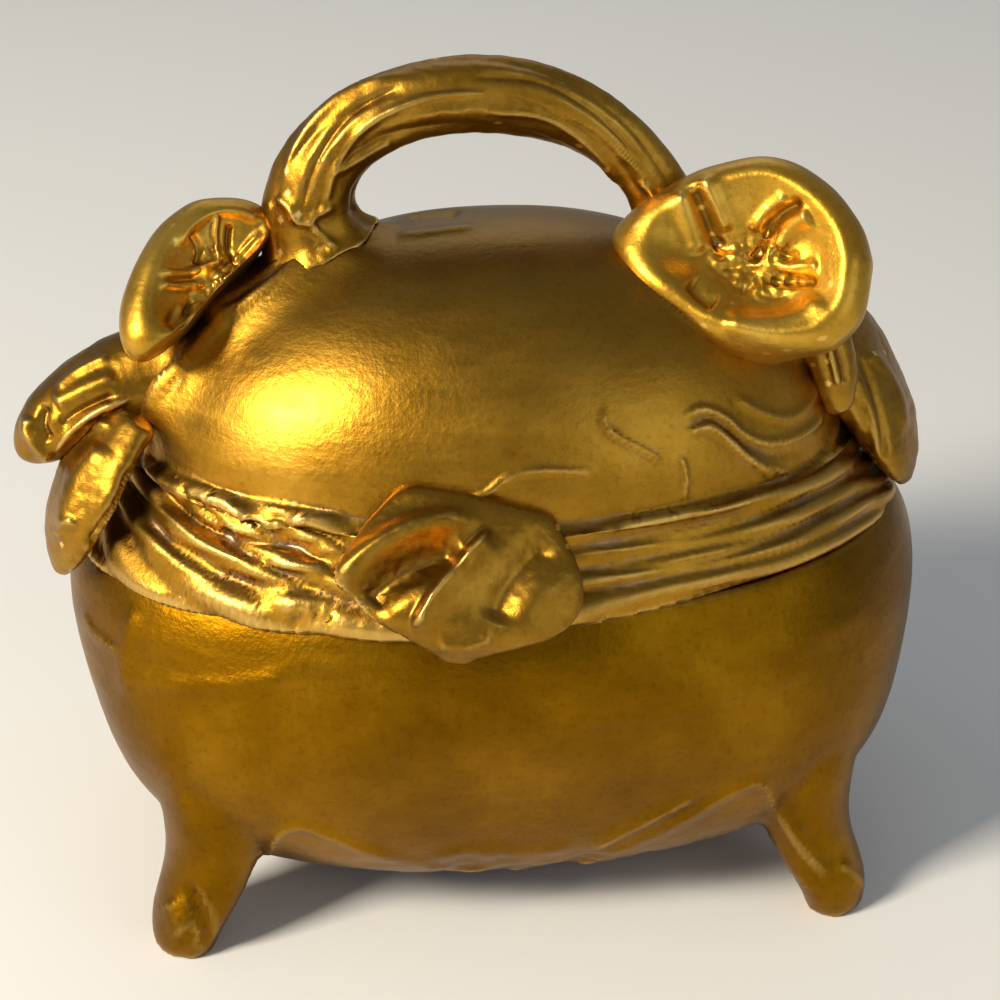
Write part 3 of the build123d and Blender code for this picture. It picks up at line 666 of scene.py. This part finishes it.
handle = melted("handle_stem", "handle", voxel=0.36, smooth_steps=5)
points = read_points(handle)
stem = smooth_line(HANDLE_LINE)
distance, side, along = beside(points[:, [0, 2]], stem)
round_turn = np.arctan2(distance * side, points[:, 1] - HANDLE_Y)
strand = round_turn / (2 * pi) * STEMS + WIND_SHARE * np.sin(along * WIND_PACE + WIND_LEAD)
hair_places = np.stack([strand * STEM_HAIR_ROUND, along * STEM_HAIR_ALONG, 0 * along], 1)
hair = lumps(hair_places, size=1.0, seed=7)
roots = 1 - ease(np.minimum(along, (1 - along) * RIGHT_ROOT_SHORTER), *ROOTS)
stems = STEM_HEIGHT * comb(strand) + STEM_HAIR * hair
push(handle, stems + rough(points, HANDLE_ROUGHNESS) - HANDLE_THINNING
     + roots * rough(points, ROOT_CRUMPLES))
flare(handle, spread=1.5, seed=21)
carve(handle, HANDLE_STROKES)
place(handle, "lid", "gilt_casting", gilt_leaf, "handle")

# The blooms: thick folded cups, each a sphere whose top is pressed in to make its mouth. The
# section goes from the middle of the cup's floor over the lip to the back: share of the way,
# share of the bloom's radius, and height over the lip
BLOOM_SECTION = [(0, 0, -3.8), (0.12, 0.18, -3.7), (0.24, 0.36, -3.2), (0.34, 0.52, -2.1),
                 (0.44, 0.68, -0.7), (0.52, 0.8, 0), (0.6, 0.92, -1), (0.68, 1, -3.6),
                 (0.79, 0.94, -7.5), (0.9, 0.6, -11.5), (1, 0, -13)]
# Each bloom's outline in the photograph's pixels
RIGHT_BLOOM_EDGE = [(857, 261), (850, 306), (832, 330), (813, 342), (770, 345), (721, 331), (685, 308),
                    (648, 278), (627, 243), (636, 208), (661, 189), (709, 166), (770, 159), (818, 186),
                    (847, 225)]
LEFT_BLOOM_EDGE = [(272, 214), (262, 236), (244, 258), (222, 284), (206, 312), (187, 337), (166, 354),
                   (148, 344), (143, 313), (151, 274), (168, 234), (192, 206), (214, 195), (244, 191),
                   (264, 198)]
# How far from the middle of the floor it is crumpled, as shares of the way to the back
CRUMPLED = (0.16, 0.34)
BLOOM_SEGMENTS, BLOOM_RINGS, BLOOM_SMOOTHING = 200, 130, 12
BLOOM_ROUGHNESS = [(0.12, 5.0, 11)]
FLOOR_CRUMPLES = [(0.6, 2.2, 12), (0.35, 1.0, 13)]
RIGHT_BLOOM_STROKES = [
    # Creases of the petals
    ([(690, 184), (702, 208), (712, 232), (724, 254)], 0.8, -1.2, PLAIN),
    ([(703, 176), (716, 204), (728, 232)], 1.1, 0.8, PLAIN),
    ([(680, 190), (688, 222), (700, 254)], 1.2, 0.6, PLAIN),
    ([(804, 202), (780, 214), (764, 236), (752, 264)], 0.8, -1.2, PLAIN),
    ([(812, 214), (792, 226), (776, 250)], 1.4, 0.9, PLAIN),
    ([(788, 196), (768, 210), (752, 232)], 0.9, 0.5, PLAIN),
    ([(762, 282), (790, 280), (818, 282)], 0.7, -0.8, PLAIN),
    ([(776, 268), (800, 266), (820, 266)], 0.9, 0.5, PLAIN),
    ([(690, 280), (702, 294), (716, 304)], 1.1, -0.9, PLAIN),
    # The roll inside the lip
    ([(722, 320), (760, 324), (800, 316), (822, 296)], 1.4, 0.7, PLAIN),
]
LEFT_BLOOM_STROKES = [
    ([(158, 272), (180, 274), (204, 268), (222, 258)], 0.5, 0.9, PLAIN),
    ([(158, 284), (180, 287), (206, 284)], 0.5, 0.7, PLAIN),
    ([(168, 312), (184, 322), (196, 308)], 1.2, -0.9, PLAIN),
    ([(216, 214), (214, 236), (218, 262)], 0.4, 0.8, PLAIN),
    ([(230, 222), (228, 246), (234, 268)], 0.4, -0.7, PLAIN),
    ([(190, 232), (200, 250), (196, 266)], 0.5, -0.8, PLAIN),
    ([(176, 248), (190, 226), (214, 212), (240, 212), (262, 222)], 0.7, 0.7, PLAIN),
    ([(262, 232), (244, 250), (226, 270), (212, 292)], 0.5, 0.5, PLAIN),
    ([(200, 300), (188, 322), (176, 340)], 0.4, 0.6, PLAIN),
    ([(192, 300), (182, 316), (172, 326)], 0.3, -0.5, PLAIN),
]


def bloom(name, heart, faces, edge, depth_share):
    """A bloom whose outline in the photograph is edge, with its mouth round heart."""
    normal = faces / np.linalg.norm(faces)
    across = RIGHT - normal * (RIGHT @ normal)
    across /= np.linalg.norm(across)
    upward = np.cross(normal, across)
    centre = seen_at(heart[None])[0]
    drawn = smooth_line(edge + edge[:1])
    reach = (drawn - centre) / PX_PER_MM
    reach = reach / [across @ RIGHT, -(upward @ ABOVE)]
    turns = np.unwrap(np.arctan2(reach[:, 1], reach[:, 0])) % (2 * pi)
    radii = np.hypot(reach[:, 0], reach[:, 1])
    order = np.argsort(turns)
    section = smooth_line(BLOOM_SECTION)
    bpy.ops.mesh.primitive_uv_sphere_add(segments=BLOOM_SEGMENTS, ring_count=BLOOM_RINGS, radius=1)
    obj = bpy.context.active_object
    obj.name = obj.data.name = name
    ball = np.array([v.co for v in obj.data.vertices])
    share = np.arccos(np.clip(ball[:, 2], -1, 1)) / pi
    turn = np.arctan2(ball[:, 1], ball[:, 0])
    radius = np.interp(turn % (2 * pi), turns[order], radii[order], period=2 * pi)
    radius *= np.interp(share, section[:, 0], section[:, 1])
    height = np.interp(share, section[:, 0], section[:, 2]) * depth_share
    spoke = np.cos(turn)[:, None] * across + np.sin(turn)[:, None] * upward
    write_points(obj, heart + radius[:, None] * spoke + height[:, None] * normal)
    relax(obj, BLOOM_SMOOTHING)
    bpy.ops.object.shade_smooth()
    made = read_points(obj)
    crumpled = 1 - ease(share, *CRUMPLED)
    push(obj, rough(made, BLOOM_ROUGHNESS) + crumpled * rough(made, FLOOR_CRUMPLES))
    flare(obj, spread=1.0, seed=22)
    return obj


right_bloom = bloom("right_bloom_cup", RIGHT_BLOOM_AT, RIGHT_BLOOM_FACES, RIGHT_BLOOM_EDGE,
                    depth_share=1.0)
carve(right_bloom, RIGHT_BLOOM_STROKES)
place(right_bloom, "lid", "gilt_casting", gilt_bloom_painted_light, "right_bloom")
left_bloom = bloom("left_bloom_cup", LEFT_BLOOM_AT, LEFT_BLOOM_FACES, LEFT_BLOOM_EDGE,
                   depth_share=0.8)
carve(left_bloom, LEFT_BLOOM_STROKES)
place(left_bloom, "lid", "gilt_casting", gilt_bloom_painted_light, "left_bloom")

# Buds and leaves, each with the folds that the photograph shows
FRONT_LEAF_STROKES = [
    # The rolled lobe round its hollow
    ([(340, 624), (340, 596), (350, 572), (372, 550),
      (402, 532), (438, 521), (482, 518)], 1.7, 1.7, PLAIN),
    ([(362, 614), (378, 592), (402, 573), (432, 558), (462, 546)], 2.4, -2.3, PLAIN),
    # The midrib with its crest
    ([(490, 528), (466, 556), (442, 582), (426, 602), (412, 630)], 2.4, 1.7, LEFT_HIGH),
    ([(489, 532), (466, 553), (450, 574), (436, 590), (426, 606), (414, 626)], 0.5, 0.35, PLAIN),
    # The valley at the right and the fold at the tip
    ([(552, 540), (528, 564), (508, 590), (494, 624)], 2.2, -1.4, PLAIN),
    ([(436, 644), (464, 648), (494, 636)], 0.9, 0.4, PLAIN),
]
LEFT_BUD_STROKES = [
    ([(30, 416), (28, 432), (40, 450), (52, 458)], 0.8, 0.9, PLAIN),
    ([(46, 404), (42, 424), (50, 442)], 0.6, -0.9, PLAIN),
    ([(56, 404), (66, 398), (88, 388), (118, 376)], 1.2, 0.6, PLAIN),
    ([(54, 452), (72, 430), (100, 410), (132, 398)], 0.5, 0.7, PLAIN),
    ([(60, 424), (84, 408), (116, 394)], 0.5, -0.6, PLAIN),
    ([(110, 356), (80, 370), (56, 390)], 0.6, 0.5, PLAIN),
]
LEFT_LEAF_STROKES = [
    ([(64, 530), (70, 500), (84, 470), (106, 444)], 1.6, 0.9, PLAIN),
    ([(134, 466), (124, 500), (104, 526), (84, 546)], 1.0, -0.9, PLAIN),
    ([(58, 538), (66, 526), (78, 520)], 0.7, 0.6, PLAIN),
    ([(52, 470), (64, 448), (88, 430), (112, 422)], 0.6, 0.5, PLAIN),
]
RIGHT_LEAF_STROKES = [
    ([(868, 350), (886, 372), (900, 400), (904, 432)], 0.7, 0.5, PLAIN),
    ([(858, 352), (872, 386), (882, 424), (884, 460)], 0.6, -0.5, PLAIN),
    ([(874, 492), (888, 498), (900, 488)], 0.7, 0.6, PLAIN),
    ([(862, 400), (868, 440), (866, 480)], 0.8, -0.4, PLAIN),
]
RIGHT_BUD_STROKES = [
    ([(826, 336), (832, 360), (838, 386)], 0.4, 0.6, PLAIN),
    ([(834, 340), (842, 366), (844, 384)], 0.35, -0.5, PLAIN),
]
# How high above the lid's edge a tucked leaf starts to bend, and how far in it goes for its lift
TUCK_FROM, TUCK_INWARD = 10, 0.7
LEAF_ROUGHNESS = [(0.15, 4.0, 14), (0.06, 1.2, 15)]


def leaf(name, node_name, voxel, strokes, tuck=0.0):
    """A cast bud or leaf, carved along strokes; tuck lifts its tip and draws it to the rim."""
    obj = melted(name, node_name, voxel, smooth_steps=4)
    made = read_points(obj)
    low = np.maximum(LID_Z + TUCK_FROM - made[:, 2], 0) * tuck
    made += np.stack([-low * TUCK_INWARD * np.sign(made[:, 0]), 0 * low, low], 1)
    write_points(obj, made)
    push(obj, rough(made, LEAF_ROUGHNESS))
    flare(obj, spread=1.3, seed=23)
    carve(obj, strokes)
    place(obj, "lid", "gilt_casting", gilt_leaf, node_name)


leaf("front_leaf_fold", "front_leaf", voxel=0.28, strokes=FRONT_LEAF_STROKES)
leaf("left_bud_curl", "left_bud", voxel=0.3, strokes=LEFT_BUD_STROKES)
leaf("left_leaf_drop", "left_leaf", voxel=0.3, strokes=LEFT_LEAF_STROKES)
leaf("right_leaf_lobe", "right_leaf", voxel=0.32, strokes=RIGHT_LEAF_STROKES, tuck=0.3)
leaf("right_bud_tip", "right_bud", voxel=0.26, strokes=RIGHT_BUD_STROKES)

# The linings: pads of wadding under silk, blown up as cloth, a gathered wall and twisted cords.
# The cloth runs ten times too big, which the solver handles better
CLOTH_SCALE, CLOTH_QUALITY, PRESSURE, LAST_FRAME = 10.0, 6, 4.0, 20
# How often the silk is gathered round a pad, where the gathers start, as shares of its oval, how
# uneven they are, and the silk's soft lumps
GATHERS, GATHERED = 46, (0.6, 0.95)
GATHERS_UNEVEN = [(3, 3, 0.0)]
SILK_LUMPS = [(0.6, 7.0, 16)]
# How often the wall's silk is pleated, how high, how far under its solid the valleys lie, and how
# the pleats sway
PLEATS, PLEAT_HEIGHT, PLEAT_SUNK = 62, 0.35, 0.1
PLEAT_SWAY, SWAY_HEIGHT, SWAY_ROUND = 0.25, 6, 5


def stuffed(name, node_name, shrink, cap, wrinkle):
    """A pad swollen from a slightly smaller copy of its solid, in which no point moves further
    than cap millimetres, with its edge gathered in wrinkles."""
    obj = melted(name, node_name, voxel=1.2, smooth_steps=2)
    start = read_points(obj)
    heart = (start.max(0) + start.min(0)) / 2
    small = heart + (start - heart) * shrink
    write_points(obj, small)
    obj.data.transform(Matrix.Scale(CLOTH_SCALE, 4))
    cloth = obj.modifiers.new("cloth", "CLOTH")
    cloth.settings.quality = CLOTH_QUALITY
    cloth.settings.use_pressure = True
    cloth.settings.uniform_pressure_force = PRESSURE
    cloth.settings.effector_weights.gravity = 0.0
    for frame_number in range(1, LAST_FRAME + 1):
        bpy.context.scene.frame_set(frame_number)
    finish_modifiers(obj)
    bpy.context.scene.frame_set(1)
    obj.data.transform(Matrix.Scale(1 / CLOTH_SCALE, 4))
    moved = read_points(obj) - small
    length = np.linalg.norm(moved, axis=1)[:, None] + 1e-9
    small = small + moved * np.minimum(1, cap / length)
    made = np.clip(small, start.min(0), start.max(0))
    oval = np.hypot(*((made - heart) / (start.max(0) - start.min(0)) * 2)[:, :2].T)
    turn = np.arctan2(made[:, 1], made[:, 0])
    gathers = np.sin(turn * GATHERS + waves(turn, GATHERS_UNEVEN)) * ease(oval, *GATHERED)
    write_points(obj, made)
    push(obj, wrinkle * (gathers + rough(made, SILK_LUMPS)) - wrinkle)
    subdivide = obj.modifiers.new("subdivide", "SUBSURF")
    subdivide.levels = subdivide.render_levels = 1
    finish_modifiers(obj)
    bpy.ops.object.shade_smooth()
    return obj


floor_pad = stuffed("floor_pad_silk", "floor_pad", shrink=0.97, cap=1.2, wrinkle=0.18)
place(floor_pad, "base", "silk", silk, "floor_pad")
lid_pad = stuffed("lid_pad_silk", "lid_pad", shrink=0.97, cap=1.0, wrinkle=0.15)
place(lid_pad, "lid", "silk", silk, "lid_pad")

wall = melted("wall_silk", "wall_lining", voxel=0.6, smooth_steps=3)
points, normals = read_points(wall), read_normals(wall)
turn = round_oval(points)
sway = PLEAT_SWAY * np.sin(points[:, 2] / SWAY_HEIGHT + SWAY_ROUND * turn)
pleats = comb(turn * PLEATS / (2 * pi) + sway)
push(wall, ~outward(points, normals, BOWL_HEART) * (PLEAT_HEIGHT * pleats - PLEAT_SUNK))
place(wall, "base", "silk", silk, "wall_lining")

# How often a cord's strands wind round each other, in how many steps, and how thick one strand is
CORD_TURNS, CORD_STEPS, STRAND_SHARE = 84, 10, 0.52


def twisted_cord(name, node_name, body):
    """A cord of two strands wound round each other, glued on in a ring."""
    low, high = [np.array(corner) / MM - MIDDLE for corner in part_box(node_name)]
    half_width, half_depth = (high - low)[:2] / 2
    radius = (high - low)[2] / 2
    level = (high + low)[2] / 2
    strand_radius = radius * STRAND_SHARE
    made = []
    for lead in (0.0, pi):
        curve = bpy.data.curves.new(name, "CURVE")
        curve.dimensions = "3D"
        curve.bevel_depth = strand_radius * MM
        curve.bevel_resolution = 2
        spline = curve.splines.new("POLY")
        spline.points.add(CORD_TURNS * CORD_STEPS - 1)
        spline.use_cyclic_u = True
        for i, point in enumerate(spline.points):
            turn = 2 * pi * i / (CORD_TURNS * CORD_STEPS)
            twist = 2 * pi * i / CORD_STEPS + lead
            out = (radius - strand_radius) * cos(twist) - radius
            up = (radius - strand_radius) * sin(twist)
            spot = np.array([(half_width + out) * cos(turn), (half_depth + out) * sin(turn),
                             level + up])
            point.co = (*((spot + MIDDLE) * MM), 1.0)
        obj = bpy.data.objects.new(name, curve)
        bpy.context.scene.collection.objects.link(obj)
        made.append(obj)
    select(made[0])
    made[1].select_set(True)
    bpy.ops.object.convert(target="MESH")
    bpy.ops.object.join()
    ring = bpy.context.active_object
    ring.name = ring.data.name = name
    bpy.ops.object.shade_smooth()
    place(ring, body, "cord", silk_cord, node_name)


twisted_cord("bowl_cord", "base_cord", "base")
twisted_cord("lid_trim_cord", "lid_cord", "lid")

# The pieces that are shown as the CAD model has them
for name, material in (("hinge_pin", steel), ("floor_card", card), ("lid_card", card)):
    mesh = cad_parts[name].data
    mesh.materials.clear()
    mesh.materials.append(material)

# The pale floor, the soft lamps and the camera, in metres
FLOOR_SIZE = 8
LIT_PLACE = (0, 0, 0.05)
SENSOR_WIDTH = 36.0

bpy.ops.mesh.primitive_plane_add(size=FLOOR_SIZE, location=(0, 0, 0))
floor = bpy.context.active_object
floor.name = "floor"
material, _, shader, _ = start_material("pale_floor")
shader.inputs["Base Color"].default_value = linear("#D9D9D6")
shader.inputs["Roughness"].default_value = 0.8
floor.data.materials.append(material)


def lamp(name, place_m, size, watts, colour):
    """A soft square lamp that shines at the casket."""
    data = bpy.data.lights.new(name, "AREA")
    data.size = size
    data.energy = watts
    data.color = linear(colour)[:3]
    obj = bpy.data.objects.new(name, data)
    obj.location = place_m
    aim = Vector(LIT_PLACE) - Vector(place_m)
    obj.rotation_euler = aim.to_track_quat("-Z", "Y").to_euler()
    bpy.context.scene.collection.objects.link(obj)


lamp("key", (-0.62, -0.36, 0.52), size=0.22, watts=12.0, colour="#FFF4E2")
lamp("fill", (0.6, -0.7, 0.35), size=0.7, watts=1.4, colour="#E8F0FF")
lamp("back", (0.1, 0.8, 0.7), size=0.6, watts=0.8, colour="#FFFFFF")

world = bpy.data.worlds.new("studio")
bpy.context.scene.world = world
world.use_nodes = True
background = world.node_tree.nodes["Background"]
background.inputs["Color"].default_value = linear("#C9CDD2")
background.inputs["Strength"].default_value = 0.5

camera_data = bpy.data.cameras.new("camera")
camera_data.sensor_width = SENSOR_WIDTH
camera_data.lens = FOCAL / (2 * HALF) * camera_data.sensor_width
camera = bpy.data.objects.new("camera", camera_data)
camera_place = Vector((CAMERA_AT + MIDDLE) * MM)
camera.matrix_world = Matrix(((RIGHT[0], ABOVE[0], -FORWARD[0], camera_place.x),
                              (RIGHT[1], ABOVE[1], -FORWARD[1], camera_place.y),
                              (RIGHT[2], ABOVE[2], -FORWARD[2], camera_place.z), (0, 0, 0, 1)))
bpy.context.scene.collection.objects.link(camera)
bpy.context.scene.camera = camera
bpy.context.scene.view_settings.view_transform = "Standard"
